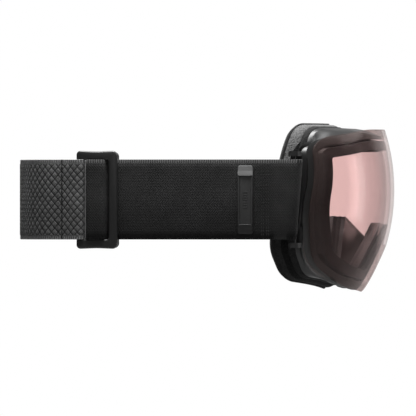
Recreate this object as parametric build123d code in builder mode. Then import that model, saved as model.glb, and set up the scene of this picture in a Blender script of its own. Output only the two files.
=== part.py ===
from build123d import *
import math
import os

# Ski goggles, in millimetres. +Z is up, the lens faces -Y and the wearer's right is -X.
# The origin is the middle of the face seat, where the fleece meets the brow.

# ---- lens surface: a toric shell turned about a vertical axis ----
LENS_APEX_Y = -40.5        # foremost point of the outer lens
LENS_TURN_R = 97.0         # horizontal radius
LENS_ARC_R = 118.0         # vertical radius
LENS_MID_Z = 12.2          # height of the foremost point
TURN_AXIS_Y = LENS_APEX_Y + LENS_TURN_R
BARREL_HALF = 66.0         # half height of the toric solids

# ---- depths behind the outer lens surface ----
LENS_T = 2.0
GASKET_T = 2.6
INNER_LENS_T = 0.8
KEEPER_T = 1.0
RIM_DEPTH = 3.0            # front of the frame's rim
CARRIER_DEPTH = 6.8
CARRIER_T = 3.0
SEAT_T = 2.2               # the frame's shelf behind the carrier
MAGNET_T = 2.2

# ---- insets from the lens edge ----
RIM_INSET = 2.0
WALL_T = 2.4
LENS_UNIT_INSET = 7.8
WINDOW_INSET = 13.3
CARRIER_INSET = 7.2
CARRIER_INNER_INSET = 14.3
POCKET_INSET = 6.7

# ---- face seat: a vertical cylinder that the foam follows ----
FACE_R = 110.0
FLEECE_T = 1.2
COMFORT_T = 5.0
BASE_T = 2.6
FLANGE_T = 2.2
FLANGE_R = FACE_R + FLEECE_T + COMFORT_T + BASE_T
FLANGE_FRONT_R = FLANGE_R + FLANGE_T

# ---- strap and its anchors ----
ANCHOR_X = 87.5
ANCHOR_Y = 21.0
STRAP_LEAN = 6.9           # degrees that each strap leans in towards the back
STRAP_T = 1.8
STRAP_H = 48.0
STRAP_MID_Z = 6.3
BAR_R = 1.6
LOOP_GAP = 0.35            # running clearance of each webbing loop
LAYER_PITCH = STRAP_T + 0.1
SEWN_END = 24.0            # where the folded end of the front strap stops

# ---- slider, measured along the strap from its anchor ----
SLIDER_S = 105.9
SLIDER_L = 24.7
SLIDER_H = 59.0
SLIDER_T = 3.2
SLIDER_N = 2.9             # height of its middle plane over the strap
SLIDER_MID_Z = 6.1
WINDOW_H = 49.4
FRONT_BAR_W = 5.3
CENTRE_BAR_S = 10.6
CENTRE_BAR_W = 6.5
CENTRE_BAR_T = 2.6
REAR_BAR_R = 1.4
REAR_BAR_S = SLIDER_S + SLIDER_L - REAR_BAR_R
TAIL_END_S = 75.0
TAIL_N = -2.1

# ---- rear strap ----
REAR_Y = 184.7             # middle of the webbing at the back of the head

FAR = 60.0                 # half depth of the prisms that trim the curved shells


# ---------------------------------------------------------------- outlines
def mirrored(half):
    """Both halves of an outline whose half list runs from its top to its bottom."""
    return half + [(-x, z, r, w) for x, z, r, w in reversed(half)]


# corner x, z, fillet radius, and how fast the edge that leaves the corner moves inwards
LENS_OUTLINE = mirrored([
    (45.0, 49.4, 120.0, 1.0), (81.5, 43.8, 13.0, 0.77), (86.6, -2.0, 60.0, 0.8),
    (76.0, -34.0, 32.0, 0.9), (50.0, -47.5, 60.0, 1.0), (17.5, -50.6, 5.0, 1.0),
    (13.0, -31.0, 14.0, 1.0), (5.0, -22.0, 8.0, 1.0)])
FACE_OUTLINE = mirrored([
    (66.5, 52.2, 14.0, 1.0), (74.6, 34.0, 60.0, 1.0), (81.3, -24.0, 26.0, 1.0),
    (73.5, -42.5, 13.0, 1.0), (21.0, -48.2, 8.0, 1.0), (12.5, -26.0, 14.0, 1.0),
    (5.5, -14.0, 8.0, 1.0)])
FOAM_HOLE = mirrored([
    (57.0, 37.5, 12.0, 1.0), (66.5, -14.0, 25.0, 1.0), (60.0, -32.5, 10.0, 1.0),
    (31.0, -35.5, 8.0, 1.0), (20.0, -14.0, 14.0, 1.0), (8.0, -4.0, 8.0, 1.0)])


def inset(outline, distance):
    """Move every edge of a filleted polygon inwards and meet the moved edges again."""
    count = len(outline)
    area = sum(outline[i][0] * outline[(i + 1) % count][1]
               - outline[(i + 1) % count][0] * outline[i][1] for i in range(count))
    side = 1.0 if area > 0 else -1.0
    lines = []
    for i in range(count):
        x0, z0, _, _ = outline[i]
        x1, z1, _, _ = outline[(i + 1) % count]
        mirror_edge = outline[(i + 1) % count][3] if x0 + x1 < 0 else outline[i][3]
        length = math.hypot(x1 - x0, z1 - z0)
        nx, nz = -(z1 - z0) / length * side, (x1 - x0) / length * side
        move = distance * mirror_edge
        lines.append((x0 + nx * move, z0 + nz * move, x1 - x0, z1 - z0))
    moved = []
    for i in range(count):
        ax, az, au, av = lines[i - 1]
        bx, bz, bu, bv = lines[i]
        cross = au * bv - av * bu
        t = ((bx - ax) * bv - (bz - az) * bu) / cross if abs(cross) > 1e-9 else 1.0
        convex = cross * side > 0
        radius = outline[i][2]
        new_radius = max(radius - distance, 1.5) if convex else radius + distance
        moved.append((ax + au * t, az + av * t, new_radius, outline[i][3]))
    return moved


def rounded(corners, radii):
    """Draw a closed polygon with its corners rounded; called inside a BuildLine."""
    stops = []
    count = len(corners)
    for i, (x, y) in enumerate(corners):
        px, py = corners[i - 1]
        nx, ny = corners[(i + 1) % count]
        before, after = math.hypot(px - x, py - y), math.hypot(nx - x, ny - y)
        ux, uy = (px - x) / before, (py - y) / before
        vx, vy = (nx - x) / after, (ny - y) / after
        half_angle = math.acos(max(-1.0, min(1.0, ux * vx + uy * vy))) / 2
        if radii[i] <= 0 or half_angle > math.pi / 2 - 1e-4:
            stops.append(((x, y), None, (x, y)))
            continue
        reach = radii[i] / math.tan(half_angle)
        bulge = radii[i] / math.sin(half_angle) - radii[i]
        mx, my = ux + vx, uy + vy
        middle = bulge / math.hypot(mx, my)
        stops.append(((x + ux * reach, y + uy * reach), (x + mx * middle, y + my * middle),
                      (x + vx * reach, y + vy * reach)))
    for i, (start, middle, end) in enumerate(stops):
        if middle:
            ThreePointArc(start, middle, end)
        Line(end, stops[(i + 1) % count][0])


def prism(outline, distance=0.0, front=-FAR, back=FAR):
    """The outline, moved inwards by distance, drawn along Y."""
    corners = inset(outline, distance)
    with BuildPart() as solid:
        with BuildSketch(Plane.XZ.offset(-back)):
            with BuildLine():
                rounded([(x, z) for x, z, _, _ in corners], [r for _, _, r, _ in corners])
            make_face()
        extrude(amount=back - front)
    return solid.part


def ring(outline, outer, inner):
    """The band between two insets of one outline."""
    return prism(outline, outer) - prism(outline, inner)


# ---------------------------------------------------------------- curved shells
def barrel(depth):
    """Everything behind the toric surface that lies depth behind the outer lens."""
    radius = LENS_ARC_R - depth
    centre = LENS_TURN_R - LENS_ARC_R
    end = centre + math.sqrt(radius ** 2 - BARREL_HALF ** 2)
    with BuildPart() as solid:
        with BuildSketch(Plane((0, TURN_AXIS_Y, LENS_MID_Z), x_dir=(1, 0, 0), z_dir=(0, -1, 0))):
            with BuildLine():
                ThreePointArc((end, -BARREL_HALF), (centre + radius, 0), (end, BARREL_HALF))
                Polyline((end, BARREL_HALF), (0, BARREL_HALF), (0, -BARREL_HALF), (end, -BARREL_HALF))
            make_face()
        revolve(axis=Axis((0, TURN_AXIS_Y, 0), (0, 0, 1)))
    return solid.part


def toric_shell(depth, thickness):
    return barrel(depth) - barrel(depth + thickness)


def drum(radius):
    """The vertical cylinder that the face seat is measured from."""
    with BuildPart() as solid:
        with BuildSketch(Plane.XY.offset(-FAR)):
            with Locations((0, FACE_R)):
                Circle(radius)
        extrude(amount=2 * FAR)
    return solid.part


def plan_solid(corners, radii, low, high):
    """A closed, filleted outline seen from above, drawn from low to high."""
    with BuildPart() as solid:
        with BuildSketch(Plane.XY.offset(low)):
            with BuildLine():
                rounded(corners, radii)
            make_face()
        extrude(amount=high - low)
    return solid.part


def export(part, name):
    part.label = name
    export_step(part, f"parts/{name}.step")


os.makedirs("parts", exist_ok=True)

# ---------------------------------------------------------------- lens unit
with BuildPart() as outer_lens:
    add(toric_shell(0, LENS_T))
    add(prism(LENS_OUTLINE), mode=Mode.INTERSECT)
export(outer_lens.part, "outer_lens")

with BuildPart() as lens_gasket:
    add(toric_shell(LENS_T, GASKET_T))
    add(ring(LENS_OUTLINE, LENS_UNIT_INSET, WINDOW_INSET), mode=Mode.INTERSECT)
export(lens_gasket.part, "lens_gasket")

INNER_DEPTH = LENS_T + GASKET_T
with BuildPart() as inner_lens:
    add(toric_shell(INNER_DEPTH, INNER_LENS_T))
    add(prism(LENS_OUTLINE, LENS_UNIT_INSET), mode=Mode.INTERSECT)
export(inner_lens.part, "inner_lens")

# magnet stations on the carrier's middle line: x, z, and the slope of that line in degrees
MAGNET_SPOTS = [(42.0, 38.7, -3.0), (76.2, 8.0, -84.0), (46.6, -36.0, 11.0)]
MAGNET_W, MAGNET_H = 11.4, 3.5


def magnet_posts(margin):
    """Upright posts through every magnet station, margin wider all round."""
    with BuildPart() as posts:
        for x, z, slope in MAGNET_SPOTS:
            for hand in (1, -1):
                with BuildSketch(Plane.XZ.offset(-FAR)):
                    with Locations(Location((hand * x, z, 0), (0, 0, hand * slope))):
                        RectangleRounded(MAGNET_W + 2 * margin, MAGNET_H + 2 * margin, 0.8)
                extrude(amount=2 * FAR)
    return posts.part


KEEPER_DEPTH = INNER_DEPTH + INNER_LENS_T
with BuildPart() as lens_keepers:
    add(toric_shell(KEEPER_DEPTH, KEEPER_T))
    add(magnet_posts(0), mode=Mode.INTERSECT)
export(lens_keepers.part, "lens_keepers")

# ---------------------------------------------------------------- goggle frame
MAGNET_DEPTH = CARRIER_DEPTH + 0.2
with BuildPart() as frame_magnets:
    add(toric_shell(MAGNET_DEPTH, MAGNET_T))
    add(magnet_posts(0), mode=Mode.INTERSECT)
export(frame_magnets.part, "frame_magnets")

with BuildPart() as lens_carrier:
    add(toric_shell(CARRIER_DEPTH, CARRIER_T))
    add(ring(LENS_OUTLINE, CARRIER_INSET, CARRIER_INNER_INSET), mode=Mode.INTERSECT)
    add(drum(FLANGE_FRONT_R + 0.1), mode=Mode.SUBTRACT)
    add(toric_shell(CARRIER_DEPTH, MAGNET_T + 0.2) & magnet_posts(0), mode=Mode.SUBTRACT)
export(lens_carrier.part, "lens_carrier")

SEAT_DEPTH = CARRIER_DEPTH + CARRIER_T + 0.1
DOME_PLAN = [(84.6, -FAR), (84.6, 15.5), (77.6, 21.5), (74.0, 40.0)]
TOP_VENTS = [(10.0, -16.6, 0.0), (30.0, -12.3, 16.0)]
BOTTOM_VENTS = [(34.0, -9.5, 18.0), (51.0, -2.6, 28.0)]
VENT_L, VENT_W = 14.0, 4.6
TOP_SLOPE = 9.5             # degrees that the top of the frame falls towards the lens
TOP_FRONT_Y, TOP_FRONT_Z = -36.0, 43.9


def vent_posts(spots, low, high):
    """Slotted posts that cut the air slots of the frame's top or bottom wall."""
    with BuildPart() as posts:
        for x, y, slope in spots:
            for hand in (1, -1):
                with BuildSketch(Plane.XY.offset(low)):
                    with Locations(Location((hand * x, y, 0), (0, 0, hand * slope))):
                        SlotOverall(VENT_L, VENT_W)
                extrude(amount=high - low)
    return posts.part


with BuildPart() as face_frame:
    add(prism(LENS_OUTLINE, RIM_INSET))
    add(barrel(RIM_DEPTH), mode=Mode.INTERSECT)
    add(plan_solid(DOME_PLAN + [(-x, y) for x, y in reversed(DOME_PLAN)],
                   [0, 6.0, 8.0, 0, 0, 8.0, 6.0, 0], -FAR, FAR), mode=Mode.INTERSECT)
    add(Pos(0, TOP_FRONT_Y, TOP_FRONT_Z) * Rot(TOP_SLOPE, 0, 0)
        * Box(2 * FAR, 2 * FAR, 40, align=(Align.CENTER, Align.CENTER, Align.MIN)), mode=Mode.SUBTRACT)
    add((drum(FLANGE_FRONT_R) - drum(FLANGE_R)) & prism(FACE_OUTLINE, 3.0))
    add(drum(FLANGE_R), mode=Mode.SUBTRACT)
    add(prism(FOAM_HOLE), mode=Mode.SUBTRACT)
    add(prism(LENS_OUTLINE, POCKET_INSET) - barrel(SEAT_DEPTH) - drum(FLANGE_FRONT_R), mode=Mode.SUBTRACT)
    add(prism(LENS_OUTLINE, RIM_INSET + WALL_T) & (barrel(SEAT_DEPTH + SEAT_T) - drum(FLANGE_FRONT_R)),
        mode=Mode.SUBTRACT)
    add(prism(LENS_OUTLINE, CARRIER_INNER_INSET) - drum(FLANGE_FRONT_R), mode=Mode.SUBTRACT)
    add(vent_posts(TOP_VENTS, 30, FAR), mode=Mode.SUBTRACT)
    add(vent_posts(BOTTOM_VENTS, -FAR, -36), mode=Mode.SUBTRACT)
export(face_frame.part, "face_frame")

VENT_FOAM_T = 2.4


def vent_foam(box):
    """The thin foam that lines the inside of the wall within the given box."""
    with BuildPart() as foam:
        add(ring(LENS_OUTLINE, RIM_INSET + WALL_T, RIM_INSET + WALL_T + VENT_FOAM_T))
        add(barrel(SEAT_DEPTH + SEAT_T), mode=Mode.INTERSECT)
        add(drum(FLANGE_FRONT_R), mode=Mode.SUBTRACT)
        add(box, mode=Mode.INTERSECT)
    return foam.part


export(vent_foam(Pos(0, 0, 45) * Box(78, 2 * FAR, 30)), "top_vent_foam")

with BuildPart() as bottom_vent_foam:
    add(ring(LENS_OUTLINE, RIM_INSET + 0.4, RIM_INSET + WALL_T))
    add(vent_posts(BOTTOM_VENTS, -FAR, -36), mode=Mode.INTERSECT)
export(bottom_vent_foam.part, "bottom_vent_foam")

# ---------------------------------------------------------------- foam layers
foam_hole = prism(FOAM_HOLE)
for name, inner_r, outer_r, edge in (
        ("face_fleece", FACE_R, FACE_R + FLEECE_T, 0.0),
        ("comfort_foam", FACE_R + FLEECE_T, FLANGE_R - BASE_T, 0.9),
        ("base_foam", FLANGE_R - BASE_T, FLANGE_R, 2.2)):
    with BuildPart() as layer:
        add(drum(outer_r) - drum(inner_r))
        add(prism(FACE_OUTLINE, edge), mode=Mode.INTERSECT)
        add(foam_hole, mode=Mode.SUBTRACT)
    export(layer.part, name)

# ---------------------------------------------------------------- strap planes
LEAN = math.radians(STRAP_LEAN)
ALONG = (-math.sin(LEAN), math.cos(LEAN), 0)     # along the strap, towards the back
OUTWARD = (math.cos(LEAN), math.sin(LEAN), 0)
STRAP_TOP_Z = STRAP_MID_Z + STRAP_H / 2
# local x runs along the strap, local y outwards, and the sketch is drawn downwards
webbing_plane = Plane((ANCHOR_X, ANCHOR_Y, STRAP_TOP_Z), x_dir=ALONG, z_dir=(0, 0, -1))
# local x runs along the strap, local y up, local z outwards
slider_plane = Plane((ANCHOR_X, ANCHOR_Y, 0), x_dir=ALONG, z_dir=OUTWARD)


def webbing_outline(path, radii):
    """The closed outline of webbing whose middle follows a filleted path."""
    half = STRAP_T / 2
    left, right, left_r, right_r = [], [], [], []
    for i, (x, y) in enumerate(path):
        before = path[i - 1] if i > 0 else None
        after = path[i + 1] if i + 1 < len(path) else None
        a = math.atan2(y - before[1], x - before[0]) if before else None
        b = math.atan2(after[1] - y, after[0] - x) if after else a
        a = b if a is None else a
        turn = (b - a + math.pi) % (2 * math.pi) - math.pi
        middle = a + turn / 2
        reach = half / math.cos(turn / 2)
        left.append((x - reach * math.sin(middle), y + reach * math.cos(middle)))
        right.append((x + reach * math.sin(middle), y - reach * math.cos(middle)))
        if before and after:
            bend = math.copysign(half, turn)
            left_r.append(max(radii[i - 1] - bend, 0.05))
            right_r.append(max(radii[i - 1] + bend, 0.05))
    return left + right[::-1], [0] + left_r + [0, 0] + right_r[::-1] + [0]


def webbing(path, radii, plane):
    """Flat webbing along a path seen from above, the strap's full height."""
    corners, corner_radii = webbing_outline(path, radii)
    with BuildPart() as band:
        with BuildSketch(plane):
            with BuildLine():
                rounded(corners, corner_radii)
            make_face()
        extrude(amount=STRAP_H)
    return band.part


def save_pair(part, name):
    """The piece on the wearer's left, and its mirror image on the right."""
    export(part, f"{name}_left")
    export(mirror(part, about=Plane.YZ), f"{name}_right")


# ---------------------------------------------------------------- front strap, one side
LOOP_R = BAR_R + LOOP_GAP + STRAP_T / 2
RISE_S = SLIDER_S + FRONT_BAR_W + 0.4
OVER_N = SLIDER_N + CENTRE_BAR_T / 2 + 0.1 + STRAP_T / 2
UNDER_N = SLIDER_N - CENTRE_BAR_T / 2 - 0.1 - STRAP_T / 2
OVER_S = SLIDER_S + CENTRE_BAR_S - 1.2
FOLD_S = SLIDER_S + CENTRE_BAR_S + CENTRE_BAR_W + 0.2 + STRAP_T / 2
FOLD_END_S = FOLD_S - 3.2
front_path = [(SEWN_END, -LAYER_PITCH), (9.0, -LAYER_PITCH), (1.8, -LOOP_R), (-LOOP_R, -LOOP_R),
              (-LOOP_R, LOOP_R), (1.8, LOOP_R), (12.0, 0), (RISE_S, 0), (OVER_S, OVER_N),
              (FOLD_S, OVER_N), (FOLD_S, UNDER_N), (FOLD_END_S, UNDER_N)]
front_radii = [12.0, 8.0, LOOP_R - 0.1, LOOP_R - 0.1, 8.0, 12.0, 1.6, 1.6, 1.2, 1.2]
with BuildPart() as front_strap:
    add(webbing(front_path, front_radii, webbing_plane))
save_pair(front_strap.part, "front_strap")

tail_path = [(FOLD_END_S - 0.35, UNDER_N), (OVER_S + 1.0, UNDER_N), (RISE_S + 1.2, TAIL_N),
             (TAIL_END_S, TAIL_N)]
with BuildPart() as strap_tail:
    add(webbing(tail_path, [2.0, 2.0], webbing_plane))
save_pair(strap_tail.part, "strap_tail")

# the bartack: two thread ridges on the outside, where the folded end is sewn down
BARTACK_S = (15.0, 18.0)
BARTACK_H = 44.0
with BuildPart() as anchor_stitching:
    with BuildSketch(slider_plane.offset(STRAP_T / 2)):
        with Locations(*[(s, STRAP_MID_Z) for s in BARTACK_S]):
            SlotOverall(BARTACK_H, 1.2, rotation=90)
    extrude(amount=0.45)
save_pair(anchor_stitching.part, "anchor_stitching")

# ---------------------------------------------------------------- badge
BADGE_S, BADGE_L, BADGE_H, BADGE_T, BADGE_MID_Z = 24.4, 9.0, 41.0, 1.6, 6.15
with BuildPart() as badge:
    with BuildSketch(slider_plane.offset(STRAP_T / 2)):
        with Locations((BADGE_S + BADGE_L / 2, BADGE_MID_Z)):
            RectangleRounded(BADGE_L, BADGE_H, 1.2)
    extrude(amount=BADGE_T)
    fillet(badge.faces().sort_by(Axis(origin=(0, 0, 0), direction=OUTWARD))[-1].edges(), 0.5)
    with BuildSketch(slider_plane.offset(STRAP_T / 2 + BADGE_T - 0.4)):
        with Locations((BADGE_S + BADGE_L / 2, BADGE_MID_Z - 0.9)):
            RectangleRounded(BADGE_L - 2.2, 29.0, 0.6)
    extrude(amount=BADGE_T, mode=Mode.SUBTRACT)
save_pair(badge.part, "badge")

# ---------------------------------------------------------------- slider
with BuildPart() as slider:
    with BuildSketch(slider_plane.offset(SLIDER_N - SLIDER_T / 2)):
        with Locations((SLIDER_S + SLIDER_L / 2, SLIDER_MID_Z)):
            RectangleRounded(SLIDER_L, SLIDER_H, 2.6)
        with Locations((SLIDER_S + FRONT_BAR_W + (SLIDER_L - FRONT_BAR_W) / 2 + 5, SLIDER_MID_Z)):
            Rectangle(SLIDER_L - FRONT_BAR_W + 10, WINDOW_H, mode=Mode.SUBTRACT)
    extrude(amount=SLIDER_T)
    outside = slider.faces().sort_by(Axis(origin=(0, 0, 0), direction=OUTWARD))[-1]
    chamfer(outside.edges().sort_by(SortBy.LENGTH)[-1], 0.9)
    bar_s = SLIDER_S + CENTRE_BAR_S + CENTRE_BAR_W / 2
    with BuildSketch(slider_plane.offset(SLIDER_N - CENTRE_BAR_T / 2)):
        with Locations((bar_s, SLIDER_MID_Z)):
            Rectangle(CENTRE_BAR_W, WINDOW_H + 1)
    extrude(amount=CENTRE_BAR_T)
    with BuildSketch(Plane((ANCHOR_X, ANCHOR_Y, SLIDER_MID_Z - WINDOW_H / 2 - 0.5),
                           x_dir=ALONG, z_dir=(0, 0, 1))):
        with Locations((REAR_BAR_S, -SLIDER_N)):
            Circle(REAR_BAR_R)
    extrude(amount=WINDOW_H + 1)
save_pair(slider.part, "slider")

# ---------------------------------------------------------------- rear strap
REAR_LOOP_R = REAR_BAR_R + LOOP_GAP + STRAP_T / 2
SEAM_S = REAR_BAR_S + 10.2
REAR_N = SLIDER_N + 0.9
REAR_SEWN_S = SEAM_S + 2.4


def strap_point(s, n):
    """A place on the left strap, along it and out from it, seen from above."""
    return (ANCHOR_X + s * ALONG[0] + n * OUTWARD[0], ANCHOR_Y + s * ALONG[1] + n * OUTWARD[1])


half_path = [strap_point(s, n) for s, n in (
    (REAR_SEWN_S, REAR_N - LAYER_PITCH), (REAR_BAR_S + 8.0, REAR_N - LAYER_PITCH),
    (REAR_BAR_S + 1.8, SLIDER_N - REAR_LOOP_R), (REAR_BAR_S - REAR_LOOP_R, SLIDER_N - REAR_LOOP_R),
    (REAR_BAR_S - REAR_LOOP_R, SLIDER_N + REAR_LOOP_R), (REAR_BAR_S + 1.8, SLIDER_N + REAR_LOOP_R),
    (REAR_BAR_S + 8.0, REAR_N), (SEAM_S + 8.1, REAR_N))]
half_path += [(64.5, 178.2), (40.0, REAR_Y)]
half_radii = [10.0, 6.0, REAR_LOOP_R - 0.1, REAR_LOOP_R - 0.1, 6.0, 10.0, 16.0, 26.0, 120.0]
half_band = webbing(half_path + [(0, REAR_Y)], half_radii, Plane.XY.offset(STRAP_TOP_Z - STRAP_H))
with BuildPart() as rear_strap:
    add(half_band)
    mirror(about=Plane.YZ)
export(rear_strap.part, "rear_strap")

# the thread ridges of the seam at each end of the rear strap
with BuildPart() as rear_seam:
    with BuildSketch(slider_plane.offset(REAR_N + STRAP_T / 2)):
        with Locations((SEAM_S, STRAP_MID_Z), (SEAM_S + 2.2, STRAP_MID_Z)):
            SlotOverall(STRAP_H - 3, 0.9, rotation=90)
    extrude(amount=0.35)
save_pair(rear_seam.part, "rear_seam")

# silicone lines along the inside of the rear strap
GRIP_T, GRIP_H = 0.6, 2.2
inner_y = REAR_Y - STRAP_T / 2
with BuildPart() as grip_strips:
    for z in (STRAP_MID_Z - 12, STRAP_MID_Z, STRAP_MID_Z + 12):
        with BuildSketch(Plane.XY.offset(z - GRIP_H / 2)):
            with Locations((0, inner_y - GRIP_T / 2)):
                Rectangle(34.0, GRIP_T)
        extrude(amount=GRIP_H)
export(grip_strips.part, "grip_strips")

# ---------------------------------------------------------------- outrigger, one side
BAR_LEN = 52.0
EAR_T = 3.0
EAR_FOOT_Z = STRAP_MID_Z - BAR_LEN / 2 - EAR_T
ear_base = Plane((ANCHOR_X, ANCHOR_Y, EAR_FOOT_Z))
EAR_OUTLINE = [(3.0, -2.8), (3.0, 3.0), (-2.5, 3.0), (-7.5, 1.0), (-7.0, -1.5), (-3.5, -5.0)]
PLATE_OUTLINE = [(-3.0, -5.2), (-3.3, -3.6), (-7.4, 0.4), (-8.4, -0.8)]
with BuildPart() as outrigger:
    for lift in (0, EAR_T + BAR_LEN):
        with BuildSketch(ear_base.offset(lift)):
            with BuildLine():
                rounded(EAR_OUTLINE, [2.4, 2.4, 2.0, 1.0, 0.8, 1.2])
            make_face()
        extrude(amount=EAR_T)
    with BuildSketch(ear_base.offset(EAR_T - 0.5)):
        Circle(BAR_R)
        with BuildLine():
            Polyline(PLATE_OUTLINE, close=True)
        make_face()
    extrude(amount=BAR_LEN + 1)
    add(face_frame.part, mode=Mode.SUBTRACT)
    add(drum(FLANGE_FRONT_R + 0.2), mode=Mode.SUBTRACT)
    add(prism(LENS_OUTLINE, -0.8) - barrel(RIM_DEPTH), mode=Mode.SUBTRACT)
save_pair(outrigger.part, "outrigger")
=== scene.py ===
import math
import bpy
import bmesh
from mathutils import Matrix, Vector
from mathutils.geometry import delaunay_2d_cdt


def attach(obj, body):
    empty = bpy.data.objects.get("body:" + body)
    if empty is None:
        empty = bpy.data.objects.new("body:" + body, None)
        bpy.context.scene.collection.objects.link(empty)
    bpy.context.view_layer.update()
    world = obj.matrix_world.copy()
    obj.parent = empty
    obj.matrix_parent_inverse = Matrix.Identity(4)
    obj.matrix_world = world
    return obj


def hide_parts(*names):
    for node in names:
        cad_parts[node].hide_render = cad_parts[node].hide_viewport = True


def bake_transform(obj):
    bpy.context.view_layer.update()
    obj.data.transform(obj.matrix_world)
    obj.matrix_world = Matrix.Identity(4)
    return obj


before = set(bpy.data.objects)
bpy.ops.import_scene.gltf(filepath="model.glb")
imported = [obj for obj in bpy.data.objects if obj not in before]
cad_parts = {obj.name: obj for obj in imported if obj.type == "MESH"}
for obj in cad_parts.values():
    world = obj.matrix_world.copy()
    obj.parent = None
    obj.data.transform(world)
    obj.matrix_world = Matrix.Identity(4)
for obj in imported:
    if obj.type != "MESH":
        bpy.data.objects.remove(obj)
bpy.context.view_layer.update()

MM = 0.001

# Shapes are worked out in millimetres, in the CAD frame: the lens faces -Y and +Z is up.
# ---- lens surface, as in the CAD ----
LENS_APEX_Y = -40.5
LENS_TURN_R = 97.0
LENS_ARC_R = 118.0
LENS_MID_Z = 12.2
TURN_AXIS_Y = LENS_APEX_Y + LENS_TURN_R
LENS_T, GASKET_T, INNER_T = 2.0, 2.6, 0.8
EDGE_INSET, RIM_INSET, UNIT_INSET, WINDOW_INSET, HOLE_INSET = 0.8, 2.0, 7.8, 13.3, 14.3
EDGE_BAND, EDGE_FADE = 4.8, 0.9              # the tinted band along the lens edge, and its soft inner side

# ---- face seat ----
FACE_R = 110.0
FLEECE_R, COMFORT_R, BASE_R, FLANGE_R = 111.2, 116.2, 118.8, 121.0

# ---- top of the frame ----
TOP_SLOPE = math.tan(math.radians(9.5))      # how it falls towards the lens
TOP_FRONT_Y, TOP_FRONT_Z = -36.0, 43.9

# ---- straps ----
ANCHOR_X, ANCHOR_Y = 87.5, 21.0
LEAN = math.radians(6.9)
STRAP_MID_Z, STRAP_H, STRAP_T = 6.3, 48.0, 1.8
SLIDER_S, SLIDER_L, SLIDER_N = 105.9, 24.7, 2.9
SLIDER_MID_Z, SLIDER_H = 6.1, 59.0
REAR_Y = 184.7
DIAMOND_L, DIAMOND_H = 4.0, 4.9     # size of the embossed lozenges
BORDER, PLAIN, STEP_AT = 2.6, 17.0, 31.5     # plain edges, plain sewn ends and where the sewn part ends


def mirrored(half):
    return half + [(-x, z, r, w) for x, z, r, w in reversed(half)]


# corner x, z, fillet radius, and how fast the edge after the corner moves inwards
LENS = mirrored([
    (45.0, 49.4, 120.0, 1.0), (81.5, 43.8, 13.0, 0.77), (86.6, -2.0, 60.0, 0.8),
    (76.0, -34.0, 32.0, 0.9), (50.0, -47.5, 60.0, 1.0), (17.5, -50.6, 5.0, 1.0),
    (13.0, -31.0, 14.0, 1.0), (5.0, -22.0, 8.0, 1.0)])
FACE = mirrored([
    (66.5, 52.2, 14.0, 1.0), (74.6, 34.0, 60.0, 1.0), (81.3, -24.0, 26.0, 1.0),
    (73.5, -42.5, 13.0, 1.0), (21.0, -48.2, 8.0, 1.0), (12.5, -26.0, 14.0, 1.0),
    (5.5, -14.0, 8.0, 1.0)])
HOLE = mirrored([
    (57.0, 37.5, 12.0, 1.0), (66.5, -14.0, 25.0, 1.0), (60.0, -32.5, 10.0, 1.0),
    (31.0, -35.5, 8.0, 1.0), (20.0, -14.0, 14.0, 1.0), (8.0, -4.0, 8.0, 1.0)])
LENS_TIP, FACE_TIP, HOLE_TIP = 5, 4, 3      # the corner beside the nose in each outline
SIDE_POINTS, NOSE_POINTS = 120, 34          # points of half a loop above and inside that corner


# ---------------------------------------------------------------- outlines
def inset(outline, distance):
    """Move every edge of a filleted polygon inwards and meet the moved edges again."""
    count = len(outline)
    area = sum(outline[i][0] * outline[(i + 1) % count][1]
               - outline[(i + 1) % count][0] * outline[i][1] for i in range(count))
    side = 1.0 if area > 0 else -1.0
    lines = []
    for i in range(count):
        x0, z0, _, w0 = outline[i]
        x1, z1, _, w1 = outline[(i + 1) % count]
        length = math.hypot(x1 - x0, z1 - z0)
        nx, nz = -(z1 - z0) / length * side, (x1 - x0) / length * side
        move = distance * (w1 if x0 + x1 < 0 else w0)
        lines.append((x0 + nx * move, z0 + nz * move, x1 - x0, z1 - z0))
    moved = []
    for i in range(count):
        ax, az, au, av = lines[i - 1]
        bx, bz, bu, bv = lines[i]
        cross = au * bv - av * bu
        t = ((bx - ax) * bv - (bz - az) * bu) / cross if abs(cross) > 1e-9 else 1.0
        convex = cross * side > 0
        radius = outline[i][2]
        radius = max(radius - distance, 1.5) if convex else radius + distance
        moved.append((ax + au * t, az + av * t, radius, outline[i][3]))
    return moved


def rounded(corners, closed=True, step=0.6):
    """Points along a filleted polygon, and the index of each corner's middle point."""
    points, middles = [], []
    count = len(corners)
    for i, (x, y, radius) in enumerate(corners):
        if not closed and i in (0, count - 1):
            points.append((x, y))
            middles.append(len(points) - 1)
            continue
        px, py, _ = corners[i - 1]
        nx, ny, _ = corners[(i + 1) % count]
        before, after = math.hypot(px - x, py - y), math.hypot(nx - x, ny - y)
        u = Vector(((px - x) / before, (py - y) / before))
        v = Vector(((nx - x) / after, (ny - y) / after))
        half = math.acos(max(-1.0, min(1.0, u.dot(v)))) / 2
        if radius <= 0 or half > math.pi / 2 - 1e-4:
            points.append((x, y))
            middles.append(len(points) - 1)
            continue
        reach = radius / math.tan(half)
        centre = Vector((x, y)) + (u + v).normalized() * (radius / math.sin(half))
        first = Vector((x, y)) + u * reach - centre
        last = Vector((x, y)) + v * reach - centre
        sweep = first.angle_signed(last)
        steps = max(2, int(abs(sweep) * radius / step) // 2 * 2)
        middles.append(len(points) + steps // 2)
        for k in range(steps + 1):
            angle = -sweep * k / steps
            c, s = math.cos(angle), math.sin(angle)
            points.append((centre.x + first.x * c - first.y * s, centre.y + first.x * s + first.y * c))
    return points, middles


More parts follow.
